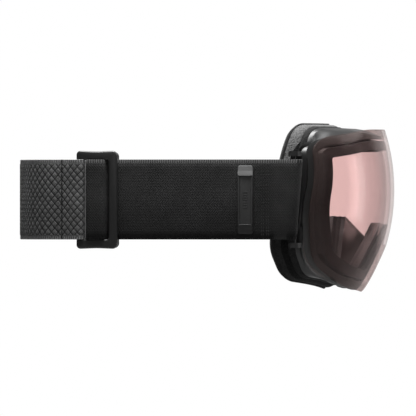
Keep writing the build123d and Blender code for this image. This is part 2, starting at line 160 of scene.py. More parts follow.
def spaced(points, count):
    """The same line with count evenly spaced points, its ends kept."""
    lengths = [0.0]
    for a, b in zip(points, points[1:]):
        lengths.append(lengths[-1] + math.dist(a, b))
    result, k = [], 0
    for i in range(count):
        target = lengths[-1] * i / (count - 1)
        while k < len(lengths) - 2 and lengths[k + 1] < target:
            k += 1
        span = lengths[k + 1] - lengths[k]
        t = (target - lengths[k]) / span if span > 0 else 0.0
        result.append(tuple(p + (q - p) * t for p, q in zip(points[k], points[k + 1])))
    return result


def loop(outline, tip, distance=0.0):
    """A closed loop whose points answer to those of every other loop: top, tip, nose, and back."""
    corners = inset(outline, distance)
    half = len(corners) // 2
    right = [(x, z, r) for x, z, r, _ in corners[:half]]
    top, nose = (0.0, right[0][1], 0.0), (0.0, right[-1][1], 0.0)
    points, middles = rounded([top] + right + [nose], closed=False)
    cut = middles[tip + 1]
    side = spaced(points[:cut + 1], SIDE_POINTS)
    bridge = spaced(points[cut:], NOSE_POINTS)
    half_loop = side + bridge[1:]
    return half_loop + [(-x, z) for x, z in reversed(half_loop[1:-1])]


# ---------------------------------------------------------------- surfaces
def lens_y(x, z, depth):
    """Y of the toric surface that lies depth behind the outer lens."""
    radius = LENS_ARC_R - depth
    reach = LENS_TURN_R - LENS_ARC_R + math.sqrt(radius ** 2 - (z - LENS_MID_Z) ** 2)
    return TURN_AXIS_Y - math.sqrt(max(reach ** 2 - x ** 2, 1.0))


def face_y(x, radius):
    return FACE_R - math.sqrt(radius ** 2 - x ** 2)


def behind(x, z, depth, distance):
    """The place straight behind a point of the lens, square to its surface."""
    radius = LENS_ARC_R - depth
    rise = math.sqrt(radius ** 2 - (z - LENS_MID_Z) ** 2)
    reach = LENS_TURN_R - LENS_ARC_R + rise
    out = math.sqrt(max(reach ** 2 - x ** 2, 1.0))
    side, lean = x / reach, rise / radius
    front = out / reach
    return (x - side * lean * distance, TURN_AXIS_Y - out + front * lean * distance,
            z - (z - LENS_MID_Z) / radius * distance)


def on_lens(points, depth):
    return [(x, lens_y(x, z, depth), z) for x, z in points]


def on_face(points, radius):
    return [(x, face_y(x, radius), z) for x, z in points]


def mixed(a, b, t, lift=0.0):
    """A loop between two loops, lifted outwards from the middle of the goggle."""
    out = []
    for p, q in zip(a, b):
        m = Vector(p).lerp(Vector(q), t)
        away = Vector((m.x, 0, m.z - 4)).normalized()
        out.append(tuple(m + away * lift))
    return out


# ---------------------------------------------------------------- meshes
def new_object(name, verts, faces, material, smooth=True):
    mesh = bpy.data.meshes.new(name)
    mesh.from_pydata([(x * MM, y * MM, z * MM) for x, y, z in verts], [], faces)
    mesh.validate()
    mesh.update()
    obj = bpy.data.objects.new(name, mesh)
    bpy.context.scene.collection.objects.link(obj)
    if material:
        mesh.materials.append(material)
    for polygon in mesh.polygons:
        polygon.use_smooth = smooth
    return obj


def outward_normals(obj):
    bm = bmesh.new()
    bm.from_mesh(obj.data)
    bmesh.ops.recalc_face_normals(bm, faces=bm.faces)
    bm.to_mesh(obj.data)
    bm.free()


def sharpen(obj, angle=40):
    """Smooth shading that stops at sharp edges."""
    obj.data.set_sharp_from_angle(angle=math.radians(angle))


def bevel(obj, width, segments=3, angle=35):
    modifier = obj.modifiers.new("bevel", "BEVEL")
    modifier.width = width * MM
    modifier.segments = segments
    modifier.limit_method = "ANGLE"
    modifier.angle_limit = math.radians(angle)
    apply_modifiers(obj)


def apply_modifiers(obj):
    graph = bpy.context.evaluated_depsgraph_get()
    mesh = bpy.data.meshes.new_from_object(obj.evaluated_get(graph))
    old = obj.data
    obj.modifiers.clear()
    obj.data = mesh
    mesh.name = obj.name
    bpy.data.meshes.remove(old)


def tube(name, loops, material, crease=38):
    """A closed ring whose section runs through the given loops and back to the first."""
    count = len(loops[0])
    verts = [p for ring in loops for p in ring]
    faces = []
    for k in range(len(loops)):
        a, b = k * count, (k + 1) % len(loops) * count
        faces += [(a + i, a + (i + 1) % count, b + (i + 1) % count, b + i) for i in range(count)]
    obj = new_object(name, verts, faces, material)
    outward_normals(obj)
    sharpen(obj, crease)
    return obj


def pane(name, outline, front_depth, thickness, material, edge_bulge=0.25, grid=2.6, border=0.0):
    """A sheet of the lens: a fine net over both faces and a rounded edge between them."""
    count = len(outline)
    coords = [Vector(p) for p in outline]
    edges = [(i, (i + 1) % count) for i in range(count)]
    xs = [p[0] for p in outline]
    zs = [p[1] for p in outline]
    rows = int((max(zs) - min(zs)) / grid)
    columns = int((max(xs) - min(xs)) / grid)
    limit = (grid * 0.7) ** 2
    for row in range(1, rows + 1):
        z = min(zs) + row * grid
        for column in range(1, columns + 1):
            x = min(xs) + (column + 0.5 * (row % 2)) * grid
            if inside(x, z, outline) and min((x - a) ** 2 + (z - b) ** 2 for a, b in outline) > limit:
                coords.append(Vector((x, z)))
    flat, _, triangles, _, _, _ = delaunay_2d_cdt(coords, edges, [list(range(count))], 1, 1e-6)
    total = len(flat)
    verts = [(p.x, lens_y(p.x, p.y, front_depth), p.y) for p in flat]
    verts += [behind(p.x, p.y, front_depth, thickness) for p in flat]
    faces = [tuple(t) for t in triangles] + [tuple(total + i for i in reversed(t)) for t in triangles]
    middle = len(verts)
    for (x, z), (nx, nz) in zip(outline, outline_normals(outline)):
        px, py, pz = behind(x, z, front_depth, thickness / 2)
        verts.append((px + nx * edge_bulge, py, pz + nz * edge_bulge))
    for i in range(count):
        j = (i + 1) % count
        faces.append((i, middle + i, middle + j, j))
        faces.append((middle + i, total + i, total + j, middle + j))
    obj = new_object(name, verts, faces, material)
    outward_normals(obj)
    sharpen(obj, 50)
    if border:
        shade = [border_shade(p.x, p.y, outline, border) for p in flat]
        layer = obj.data.attributes.new("border", "FLOAT", "POINT")
        layer.data.foreach_set("value", shade + shade + [1.0] * count)
    return obj


def border_shade(x, z, outline, border):
    """1 near the edge of the lens, fading to 0 at the given distance from it."""
    gap = math.sqrt(min((x - a) ** 2 + (z - b) ** 2 for a, b in outline))
    return max(0.0, min(1.0, (border - gap) / EDGE_FADE))


def inside(x, z, outline):
    hit = False
    for (ax, az), (bx, bz) in zip(outline, outline[1:] + outline[:1]):
        if (az > z) != (bz > z) and x < (bx - ax) * (z - az) / (bz - az) + ax:
            hit = not hit
    return hit


def outline_normals(outline):
    """Unit normals that point out of a closed loop, which runs clockwise seen from the front."""
    normals = []
    for i in range(len(outline)):
        a, b = outline[i - 1], outline[(i + 1) % len(outline)]
        length = math.dist(a, b)
        normals.append((-(b[1] - a[1]) / length, (b[0] - a[0]) / length))
    return normals


# ---------------------------------------------------------------- node materials
class Tree:
    """A short way to write a node material."""

    def __init__(self, name):
        self.material = bpy.data.materials.new(name)
        self.material.use_nodes = True
        self.nodes = self.material.node_tree.nodes
        self.links = self.material.node_tree.links
        self.nodes.clear()
        self.output = self.nodes.new("ShaderNodeOutputMaterial")

    def add(self, kind, settings=None, **inputs):
        node = self.nodes.new("ShaderNode" + kind)
        for key, value in (settings or {}).items():
            setattr(node, key, value)
        for key, value in inputs.items():
            self.put(node.inputs[int(key[1:])] if key[0] == "i" and key[1:].isdigit()
                     else node.inputs[key.replace("_", " ")], value)
        return node

    def put(self, socket, value):
        if isinstance(value, bpy.types.NodeSocket):
            self.links.new(value, socket)
        elif isinstance(value, bpy.types.Node):
            self.links.new(value.outputs[0], socket)
        else:
            socket.default_value = value

    def math(self, operation, a, b=0.0, c=0.0):
        return self.add("Math", {"operation": operation}, i0=a, i1=b, i2=c).outputs[0]

    def ramp(self, factor, stops):
        node = self.add("ValToRGB", i0=factor)
        ramp = node.color_ramp
        while len(ramp.elements) < len(stops):
            ramp.elements.new(0.5)
        for element, (position, value) in zip(ramp.elements, stops):
            element.position = position
            element.color = value if len(value) == 4 else (*value, 1)
        return node.outputs[0]

    def mix(self, factor, a, b):
        node = self.add("Mix", {"data_type": "RGBA"})
        self.put(node.inputs[0], factor)
        self.put(node.inputs[6], a)
        self.put(node.inputs[7], b)
        return node.outputs[2]

    def noise(self, vector, scale, detail=3.0, roughness=0.5):
        node = self.add("TexNoise", Vector=vector, Scale=scale, Detail=detail, Roughness=roughness)
        return node.outputs[0]

    def bump(self, height, strength, distance, normal=None):
        node = self.add("Bump", Height=height, Strength=strength, Distance=distance)
        if normal is not None:
            self.put(node.inputs["Normal"], normal)
        return node.outputs[0]

    def finish(self, shader):
        self.links.new(shader.outputs[0], self.output.inputs[0])
        return self.material


def grey(value, warm=0.0):
    return (value * (1 + warm), value, value * (1 - warm), 1.0)


def metres(tree):
    return tree.add("TexCoord").outputs["Object"]


def webbing_material(name, dark, light, pitch, selvage, embossed=0.0, low_shade=1.0):
    """Knit elastic: a herringbone of fine ribs, soft blotches, and a looped thread along each edge, with
    painted shade darkening its lower part.
    """
    t = Tree(name)
    uv = t.add("SeparateXYZ", Vector=t.add("UVMap", {"uv_map": "UVMap"}).outputs[0])
    along, across = uv.outputs[0], uv.outputs[1]
    zigzag = t.math("PINGPONG", across, 3.0)
    slant = t.math("ADD", along, t.math("MULTIPLY", zigzag, 0.9))
    twill = t.math("SINE", t.math("MULTIPLY", slant, 2 * math.pi / pitch))
    weft = t.math("SINE", t.math("MULTIPLY", across, 2 * math.pi / (pitch * 0.62)))
    cloth = t.math("ADD", t.math("MULTIPLY", twill, 0.6), t.math("MULTIPLY", weft, 0.4))
    edge = t.math("ABSOLUTE", across)
    near_edge = t.math("GREATER_THAN", edge, STRAP_H / 2 - 1.7)
    loops = t.math("SINE", t.math("MULTIPLY", along, 2 * math.pi / 1.35))
    height = t.add("Mix", {"data_type": "FLOAT"}, i0=near_edge, i2=cloth, i3=loops).outputs[0]
    fuzz = t.noise(metres(t), 2600.0, 4.0, 0.7)
    blotch = t.noise(metres(t), 60.0, 3.0, 0.55)
    level = t.math("ADD", t.math("MULTIPLY", height, 0.16),
                   t.math("ADD", t.math("MULTIPLY", fuzz, 0.55), t.math("MULTIPLY", blotch, 0.35)))
    colour = t.ramp(level, [(0.2, grey(dark)), (0.8, grey(light))])
    threads = t.math("MULTIPLY", near_edge, t.math("MULTIPLY_ADD", loops, 0.5, 0.5))
    colour = t.mix(t.math("MULTIPLY", threads, 0.7), colour, grey(selvage))
    # painted shade: the colour darkens towards the strap's lower edge, standing in for light that falls from
    # above
    shade = t.add("MapRange", Value=across, i1=-STRAP_H / 2, i2=2.0, i3=low_shade, i4=1.0).outputs[0]
    colour = t.mix(shade, grey(0.0015), colour)
    # painted shade: the grooves between the embossed lozenges are coloured dark, and so is the line where
    # the sewn part ends
    if embossed:
        colour = t.mix(groove_mask(t, along, across, embossed), colour, grey(dark * 0.1))
    rough = t.math("MULTIPLY_ADD", fuzz, 0.2, 0.72)
    shader = t.add("BsdfPrincipled", Base_Color=colour, Roughness=rough, Specular_IOR_Level=0.12,
                   Sheen_Weight=0.06, Sheen_Roughness=0.45,
                   Normal=t.bump(t.math("ADD", height, fuzz), 0.55, 0.00022))
    return t.finish(shader)


def groove_mask(t, along, across, length):
    """1 in the grooves between the embossed lozenges of a strap of the given length and along the line where
    its sewn part ends, 0 elsewhere. The grooves get painted shade.
    """
    from_middle = t.math("SUBTRACT", along, length / 2)
    u = t.math("DIVIDE", from_middle, DIAMOND_L)
    v = t.math("DIVIDE", across, DIAMOND_H)
    a = t.math("PINGPONG", t.math("ADD", u, v), 0.5)
    b = t.math("PINGPONG", t.math("SUBTRACT", u, v), 0.5)
    groove = t.math("SUBTRACT", 1.0, t.math("DIVIDE", t.math("MINIMUM", a, b), 0.13))
    groove = t.math("MAXIMUM", groove, 0.0)
    field = t.math("LESS_THAN", t.math("ABSOLUTE", across), STRAP_H / 2 - BORDER)
    distance = t.math("ABSOLUTE", from_middle)
    middle = t.math("LESS_THAN", distance, length / 2 - PLAIN)
    from_seam = t.math("SUBTRACT", distance, length / 2 - STEP_AT)
    seam = t.math("LESS_THAN", t.math("ABSOLUTE", from_seam), 0.35)
    return t.math("MAXIMUM", t.math("MULTIPLY", t.math("MULTIPLY", groove, field), middle), seam)


def foam_material(name, dark, light, cell, depth, warm=0.0, dark_front_from=0.0):
    """Open-cell foam: pores of two sizes over a mottled colour; optionally darker in front of a given
    radius, with painted shade darkening it lower down.
    """
    t = Tree(name)
    place = metres(t)
    pores = t.add("TexVoronoi", Vector=place, Scale=1.0 / cell).outputs[0]
    small = t.add("TexVoronoi", Vector=place, Scale=2.3 / cell).outputs[0]
    mottle = t.noise(place, 180.0, 4.0, 0.6)
    level = t.math("ADD", t.math("MULTIPLY", pores, 0.6), t.math("MULTIPLY", mottle, 0.55))
    colour = t.ramp(level, [(0.15, grey(dark, warm)), (0.7, grey(light, warm))])
    if dark_front_from:
        flat = t.add("VectorMath", {"operation": "MULTIPLY"}, i0=place, i1=(1, 1, 0)).outputs[0]
        centre = (0, FACE_R * MM, 0)
        radius = t.add("VectorMath", {"operation": "DISTANCE"}, i0=flat, i1=centre).outputs["Value"]
        height_up = t.add("SeparateXYZ", Vector=place).outputs[2]
        high = t.math("MAXIMUM", t.math("SUBTRACT", height_up, 0.034), 0.0)
        reach = t.math("MULTIPLY_ADD", high, -0.3, radius)
        # darker in front of this radius; near the top the dark part starts further forward
        front = t.math("GREATER_THAN", t.math("MULTIPLY_ADD", mottle, 0.0004, reach), dark_front_from * MM)
        # painted shade: the colour darkens lower down, where the light from above does not reach
        shaded_below = t.add("MapRange", Value=height_up, i1=-0.02, i2=0.012, i3=0.15, i4=1.0).outputs[0]
        colour = t.mix(shaded_below, grey(dark * 0.3), colour)
        colour = t.mix(front, colour, grey(dark * 0.25))
    height = t.math("ADD", pores, t.math("MULTIPLY", small, 0.5))
    shader = t.add("BsdfPrincipled", Base_Color=colour, Roughness=t.math("MULTIPLY_ADD", mottle, 0.15, 0.82),
                   Specular_IOR_Level=0.15, Normal=t.bump(height, 0.7, depth))
    return t.finish(shader)


def fleece_material():
    """Brushed microfleece: short fibres in all directions."""
    t = Tree("fleece")
    place = metres(t)
    fibres = t.noise(place, 1900.0, 6.0, 0.75)
    nap = t.noise(place, 110.0, 3.0, 0.5)
    level = t.math("ADD", t.math("MULTIPLY", fibres, 0.6), t.math("MULTIPLY", nap, 0.4))
    colour = t.ramp(level, [(0.3, grey(0.006)), (0.75, grey(0.035))])
    shader = t.add("BsdfPrincipled", Base_Color=colour, Roughness=0.95, Sheen_Weight=0.08,
                   Sheen_Roughness=0.5, Specular_IOR_Level=0.1, Normal=t.bump(level, 0.8, 0.0004))
    return t.finish(shader)


def moulded_material(name, base, rough, grain=0.0006, strength=0.12, coat=0.0, wear=0.0, painted_light_bands=()):
    """Moulded plastic or rubber: spark-eroded grain, slight colour drift and paler worn edges, and optional
    bands by height with a set colour for painted highlight and painted shade.
    """
    t = Tree(name)
    place = metres(t)
    fine = t.noise(place, 1.0 / grain, 5.0, 0.6)
    drift = t.noise(place, 35.0, 3.0, 0.5)
    colour = t.ramp(t.math("ADD", t.math("MULTIPLY", fine, 0.3), t.math("MULTIPLY", drift, 0.7)),
                    [(0.3, grey(base * 0.8)), (0.7, grey(base * 1.25))])
    # painted light: between two heights the colour is set to a given level, lighter for a painted highlight,
    # darker for painted shade
    for low, high, band_level in painted_light_bands:
        z = t.add("SeparateXYZ", Vector=place).outputs[2]
        band = t.math("MULTIPLY", t.math("GREATER_THAN", z, low * MM), t.math("LESS_THAN", z, high * MM))
        colour = t.mix(band, colour, t.mix(fine, grey(band_level * 0.8), grey(band_level * 1.2)))
    if wear:
        edge = t.add("NewGeometry").outputs["Pointiness"]
        mask = t.math("MULTIPLY", t.ramp(edge, [(0.52, grey(0)), (0.6, grey(1))]),
                      t.noise(place, 700.0, 4.0, 0.7))
        colour = t.mix(t.math("MULTIPLY", mask, wear), colour, grey(min(base * 5, 0.4)))
    roughness = t.math("MULTIPLY_ADD", fine, 0.16, rough - 0.08)
    shader = t.add("BsdfPrincipled", Base_Color=colour, Roughness=roughness,
                   Coat_Weight=coat, Normal=t.bump(fine, strength, 0.0002))
    return t.finish(shader)


def metal_material(name, base):
    t = Tree(name)
    brushed = t.noise(metres(t), 900.0, 2.0, 0.5)
    colour = t.ramp(brushed, [(0.3, grey(base * 0.8)), (0.7, grey(base))])
    shader = t.add("BsdfPrincipled", Base_Color=colour,
                   Metallic=1.0, Roughness=t.math("MULTIPLY_ADD", brushed, 0.2, 0.25))
    return t.finish(shader)


def lens_material(name, face_on, grazing, shine, haze, border=None):
    """Tinted sheet: light passes straight through, tinted more where it passes at a slant."""
    t = Tree(name)
    facing = t.add("LayerWeight", Blend=0.5).outputs["Facing"]
    streak = t.noise(metres(t), 14.0, 2.0, 0.5)
    slant = t.math("MULTIPLY", t.math("POWER", facing, 2.6), t.math("MULTIPLY_ADD", streak, 0.2, 0.9))
    tint = t.mix(slant, (*face_on, 1), (*grazing, 1))
    cloud = 0.003
    if border:
        near_edge = t.add("Attribute", {"attribute_name": "border"}).outputs["Fac"]
        tint = t.mix(near_edge, tint, (*border, 1))
        cloud = t.math("MULTIPLY_ADD", near_edge, 0.06, cloud)
    clear = t.add("BsdfTransparent", Color=tint)
    gloss = t.add("BsdfGlossy", Color=(1, 0.95, 0.94, 1), Roughness=0.12)
    body = t.add("BsdfDiffuse", Color=(*haze, 1))
    mirror = t.math("MULTIPLY_ADD", t.math("POWER", facing, 5.0), 0.7, 0.04 * shine)
    clear_and_body = t.add("MixShader", i0=cloud, i1=clear.outputs[0], i2=body.outputs[0])
    shader = t.add("MixShader", i0=mirror, i1=clear_and_body.outputs[0], i2=gloss.outputs[0])
    return t.finish(shader)


# ---------------------------------------------------------------- camera, light and floor
PICTURE_W = 0.2496         # width of the view at the goggle's near side
VIEW_Y, VIEW_Z = 0.0722, 0.0012
CAMERA_DISTANCE = 9.0
NEAR_SIDE_X = -0.075
SENSOR = 36.0


def make_camera():
    data = bpy.data.cameras.new("camera")
    data.sensor_width = SENSOR
    data.lens = SENSOR * CAMERA_DISTANCE / PICTURE_W
    camera = bpy.data.objects.new("camera", data)
    camera.location = (NEAR_SIDE_X - CAMERA_DISTANCE, VIEW_Y, VIEW_Z)
    camera.rotation_euler = (math.radians(90), 0, math.radians(-90))
    data.clip_end = 20
    bpy.context.scene.collection.objects.link(camera)
    bpy.context.scene.camera = camera


def area_light(name, place, target, size, power, size_y=None):
    data = bpy.data.lights.new(name, "AREA")
    data.energy = power
    data.size = size
    if size_y:
        data.shape = "RECTANGLE"
        data.size_y = size_y
    light = bpy.data.objects.new(name, data)
    light.location = place
    light.visible_camera = False
    light.rotation_euler = (Vector(target) - Vector(place)).to_track_quat("-Z", "Y").to_euler()
    bpy.context.scene.collection.objects.link(light)


DIFFUSE_LEVEL, GLOSSY_LEVEL = 0.07, 0.06     # how bright the white surroundings are to each kind of ray


def world_level(nodes, links, chosen, when_true, otherwise):
    mix = nodes.new("ShaderNodeMix")
    links.new(chosen, mix.inputs[0])
    mix.inputs[3].default_value = when_true
    if isinstance(otherwise, bpy.types.NodeSocket):
        links.new(otherwise, mix.inputs[2])
    else:
        mix.inputs[2].default_value = otherwise
    return mix.outputs[0]


def make_studio():
    scene = bpy.context.scene
    scene.view_settings.view_transform = "Standard"
    world = bpy.data.worlds.new("studio")
    scene.world = world
    world.use_nodes = True
    nodes, links = world.node_tree.nodes, world.node_tree.links
    background = nodes["Background"]
    background.inputs["Color"].default_value = (1, 1, 1, 1)
    sight = nodes.new("ShaderNodeLightPath")
    seen = world_level(nodes, links, sight.outputs["Is Camera Ray"], 1.0, DIFFUSE_LEVEL)
    level = world_level(nodes, links, sight.outputs["Is Glossy Ray"], GLOSSY_LEVEL, seen)
    links.new(level, background.inputs["Strength"])
    area_light("key", (-0.12, 0.05, 0.9), (0, 0.05, 0), 0.7, 32.0)
    area_light("near_top", (-0.20, 0.12, 0.17), (-0.07, 0.10, 0.01), 0.16, 0.12, 0.4)
    area_light("front_top", (0.5, -1.3, 0.85), (0, -0.02, 0.03), 1.2, 9.0, 0.7)
    area_light("front_strip", (0.32, -1.5, 0.03), (-0.05, 0, 0), 0.30, 3.2, 0.68)
    area_light("far_side", (1.2, -0.6, 0.3), (0, 0.05, 0), 1.2, 3.0)
    size, height = 0.75, -0.16
    mesh = bpy.data.meshes.new("floor")
    mesh.from_pydata([(-size, -size, height), (size, -size, height), (size, size, height),
                      (-size, size, height)], [], [(0, 1, 2, 3)])
    floor = bpy.data.objects.new("floor", mesh)
    scene.collection.objects.link(floor)
    t = Tree("floor")
    mottle = t.noise(metres(t), 3.0, 2.0)
    shade = t.ramp(mottle, [(0.3, (0.20, 0.20, 0.20)), (0.7, (0.22, 0.22, 0.22))])
    paper = t.add("BsdfDiffuse", Color=shade)
    white = t.add("Emission", Color=(1, 1, 1, 1), Strength=1.0)
    path = t.add("LightPath")
    far = t.add("VectorMath", {"operation": "LENGTH"}, i0=metres(t)).outputs["Value"]
    fade = t.math("SUBTRACT", 0.3, t.math("DIVIDE", far, 3 * size))
    shine = t.math("MULTIPLY", path.outputs["Is Glossy Ray"], fade)
    seen = t.math("MAXIMUM", path.outputs["Is Camera Ray"], shine)
    mesh.materials.append(t.finish(t.add("MixShader", i0=seen, i1=paper.outputs[0], i2=white.outputs[0])))


# ---------------------------------------------------------------- lens unit
def make_lens_unit():
    tint = lens_material("outer_lens", (0.965, 0.875, 0.868), (0.90, 0.845, 0.84), 0.12, (0.30, 0.23, 0.22),
                         border=(0.80, 0.745, 0.735))
    clear = lens_material("inner_lens", (0.985, 0.965, 0.962), (0.96, 0.95, 0.95), 0.3, (0.35, 0.31, 0.30))
    outer = pane("lens_outer", loop(LENS, LENS_TIP, EDGE_INSET), 0.0, LENS_T, tint,
                 grid=2.0, border=EDGE_BAND)
    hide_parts("outer_lens")
    inner = pane("lens_inner", loop(LENS, LENS_TIP, UNIT_INSET), LENS_T + GASKET_T, INNER_T, clear)
    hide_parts("inner_lens")
    edge, window = loop(LENS, LENS_TIP, UNIT_INSET), loop(LENS, LENS_TIP, WINDOW_INSET)
    deep = LENS_T + GASKET_T
    section = [on_lens(edge, LENS_T), on_lens(edge, deep), on_lens(window, deep), on_lens(window, LENS_T)]
    gasket = tube("spacer_gasket", section, moulded_material("gasket", 0.004, 0.6, 0.0004, 0.3))
    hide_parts("lens_gasket")
    for piece in (outer, inner, gasket):
        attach(piece, "lens_unit")


# ---------------------------------------------------------------- frame shell
def capped(points, depth, gap=0.2):
    """A loop on the lens surface that stops short of the flange where the two surfaces meet."""
    return [(x, min(lens_y(x, z, depth), face_y(x, FLANGE_R) - gap), z) for x, z in points]


def under_top(points):
    """The loop pressed down to the slope of the frame's top."""
    return [(x, y, min(z, TOP_FRONT_Z + (y - TOP_FRONT_Y) * TOP_SLOPE)) for x, y, z in points]


def make_frame_shell(material):
    rim_out, rim_in = loop(LENS, LENS_TIP, RIM_INSET), loop(LENS, LENS_TIP, 6.7)
    seat = loop(LENS, LENS_TIP, HOLE_INSET)
    wall = loop(LENS, LENS_TIP, RIM_INSET + 2.4)
    flange, hole = loop(FACE, FACE_TIP, 3.0), loop(HOLE, HOLE_TIP)
    rim = under_top(on_lens(rim_out, 3.0))
    foot = on_face(flange, FLANGE_R)
    section = [rim, under_top(on_lens(loop(LENS, LENS_TIP, RIM_INSET + 0.5), 2.8)), on_lens(rim_in, 3.0),
               capped(rim_in, 9.9), capped(seat, 9.9), capped(seat, 12.1, 0.1),
               capped(wall, 12.1, 0.1), on_face(hole, FLANGE_R), on_face(hole, BASE_R),
               on_face(flange, BASE_R), mixed(on_face(flange, BASE_R), foot, 0.5, 0.25), foot]
    dome = [mixed(foot, rim, t, 1.5 * math.sin(math.pi * t)) for t in (0.12, 0.3, 0.5, 0.7, 0.88, 0.96)]
    shell = tube("frame_shell", section + dome, material, 30)
    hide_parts("face_frame")
    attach(shell, "root")


# ---------------------------------------------------------------- foam
def foam_ring(name, node, rear_r, front_r, edges, hole_in, material, bulge):
    """A foam layer with soft, slightly bulging side walls; edges are its outer insets, rear then front."""
    rear_edge, front_edge = edges
    loops = []
    steps = 6
    for k in range(steps + 1):
        t = k / steps
        swell = bulge * math.sin(math.pi * t)
        outline = loop(FACE, FACE_TIP, rear_edge + (front_edge - rear_edge) * t - swell)
        loops.append(on_face(outline, rear_r + (front_r - rear_r) * t))
    for k in range(steps + 1):
        t = 1 - k / steps
        swell = bulge * math.sin(math.pi * t)
        loops.append(on_face(loop(HOLE, HOLE_TIP, hole_in + swell), rear_r + (front_r - rear_r) * t))
    ring = tube(name, loops, material, 60)
    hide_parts(node)
    return ring


def make_foam():
    fleece = foam_ring("seat_fleece", "face_fleece", FACE_R, FLEECE_R, (0.6, 0.1), 0.0,
                       fleece_material(), 0.3)
    soft = foam_material("comfort_foam", 0.025, 0.11, 0.0011, 0.0005, dark_front_from=COMFORT_R - 2.0)
    comfort = foam_ring("foam_comfort", "comfort_foam", FLEECE_R, COMFORT_R, (0.9, 1.9), 0.0,
                        soft, 0.45)
    base = foam_ring("foam_base", "base_foam", COMFORT_R, BASE_R, (2.2, 2.7), 0.0,
                     foam_material("base_foam", 0.006, 0.02, 0.0007, 0.0003), 0.2)
    for piece in (fleece, comfort, base):
        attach(piece, "root")


# ---------------------------------------------------------------- webbing
def strap_place(hand):
    """Maps a place along the strap and out from it to x and y; hand is 1 on the left, -1 on the right."""
    def place(s, n):
        x = ANCHOR_X - s * math.sin(LEAN) + n * math.cos(LEAN)
        return hand * x, ANCHOR_Y + s * math.cos(LEAN) + n * math.sin(LEAN)
    return place


def webbing(name, line, place, material, relief=None, slant=None, rows=56, thickness=STRAP_T):
    """Webbing along a line of (s, n) points. relief(along, across) lifts the outer face;
    slant(s, z) moves points along the strap. Both faces and the rounded edges are one mesh."""
    count = len(line)
    normals, lengths = [], [0.0]
    for i in range(count):
        a, b = Vector(line[max(i - 1, 0)]), Vector(line[min(i + 1, count - 1)])
        d = (b - a).normalized()
        normals.append(Vector((-d.y, d.x)))
        if i:
            lengths.append(lengths[-1] + math.dist(line[i], line[i - 1]))
    half_t, half_h = thickness / 2, STRAP_H / 2
    profile = []            # across, out, and whether relief applies
    for k in range(rows + 1):
        profile.append((-half_h + 0.35 + (STRAP_H - 0.7) * k / rows, half_t, True))
    profile += [(half_h, half_t * 0.45, False), (half_h, -half_t * 0.45, False)]
    back_rows = 10
    for k in range(back_rows + 1):
        profile.append((half_h - 0.35 - (STRAP_H - 0.7) * k / back_rows, -half_t, False))
    profile += [(-half_h, -half_t * 0.45, False), (-half_h, half_t * 0.45, False)]
    verts, uvs = [], []
    for i, (s, n) in enumerate(line):
        for across, out, lifted in profile:
            lift = relief(lengths[i], across) if lifted and relief else 0.0
            p = Vector((s, n)) + normals[i] * (out + lift)
            if slant:
                p.x += slant(p.x, across)
            x, y = place(p.x, p.y)
            verts.append((x, y, STRAP_MID_Z + across))
            uvs.append((lengths[i], across if out > 0 else across + 0.4))
    width = len(profile)
    faces = []
    for i in range(count - 1):
        for k in range(width):
            m = (k + 1) % width
            faces.append((i * width + k, (i + 1) * width + k, (i + 1) * width + m, i * width + m))
    faces += [tuple(range(width)), tuple((count - 1) * width + k for k in reversed(range(width)))]
    obj = new_object(name, verts, faces, material)
    layer = obj.data.uv_layers.new(name="UVMap")
    for corner, vertex in enumerate(v for p in obj.data.polygons for v in p.vertices):
        layer.data[corner].uv = uvs[vertex]
    outward_normals(obj)
    sharpen(obj, 55)
    return obj


BAR_R, LOOP_GAP = 1.6, 0.35
LOOP_R = BAR_R + LOOP_GAP + STRAP_T / 2
PITCH = STRAP_T + 0.1
RISE_S = SLIDER_S + 5.7
OVER_N, UNDER_N = SLIDER_N + 2.3, SLIDER_N - 2.3
OVER_S, FOLD_S = SLIDER_S + 9.4, SLIDER_S + 18.2
REAR_BAR_S = SLIDER_S + SLIDER_L - 1.4
REAR_LOOP_R = 2.65
REAR_N = SLIDER_N + 0.9
SEAM_S = REAR_BAR_S + 10.2


def fine(corners, step=0.8):
    """A filleted line cut into even steps."""
    points, _ = rounded(corners, closed=False, step=0.25)
    length = sum(math.dist(a, b) for a, b in zip(points, points[1:]))
    return spaced(points, int(length / step) + 1)


def anchor_slant(s, across):
    """The strap's end follows the slanting edge of the lens, and the rest hangs square."""
    return -0.075 * across * max(0.0, min(1.0, (22.0 - s) / 20.0))


def make_front_strap(hand, side, material):
    line = fine([(24.0, -PITCH, 0), (9.0, -PITCH, 12.0), (1.8, -LOOP_R, 8.0),
                 (-LOOP_R, -LOOP_R, LOOP_R - 0.1), (-LOOP_R, LOOP_R, LOOP_R - 0.1),
                 (1.8, LOOP_R, 8.0), (12.0, 0, 12.0), (RISE_S, 0, 1.6),
                 (OVER_S, OVER_N, 1.6), (FOLD_S, OVER_N, 1.2), (FOLD_S, UNDER_N, 1.2),
                 (FOLD_S - 3.2, UNDER_N, 0)][::-1])
    place = strap_place(hand)
    strap = webbing(f"webbing_front_{side}", line, place, material, slant=anchor_slant)
    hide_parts(f"front_strap_{side}")
    (ax, ay), (bx, by) = place(45.0, 0), place(100.0, 0)
    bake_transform(strap)
    tail_line = fine([(FOLD_S - 3.55, UNDER_N, 0), (OVER_S + 1.0, UNDER_N, 2.0), (RISE_S + 1.2, -2.1, 2.0),
                      (75.0, -2.1, 0)])
    tail = webbing(f"webbing_tail_{side}", tail_line, place, material, rows=20)
    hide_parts(f"strap_tail_{side}")
    (ax, ay), (bx, by) = place(118.0, 0), place(82.0, 0)
    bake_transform(tail)




def diamonds(along, across):
    """Embossed lozenges with grooves between them, and a plain ribbed border top and bottom."""
    border = STRAP_H / 2 - BORDER
    if abs(across) > border:
        return -0.12 + 0.12 * math.cos((abs(across) - border) * 2 * math.pi / 1.1)
    u, v = along / DIAMOND_L, across / DIAMOND_H
    a, b = (u + v) % 1.0, (u - v) % 1.0
    edge = min(a, 1 - a, b, 1 - b) * 2
    return 0.55 * (min(1.0, edge / 0.45) ** 0.7) - 0.42


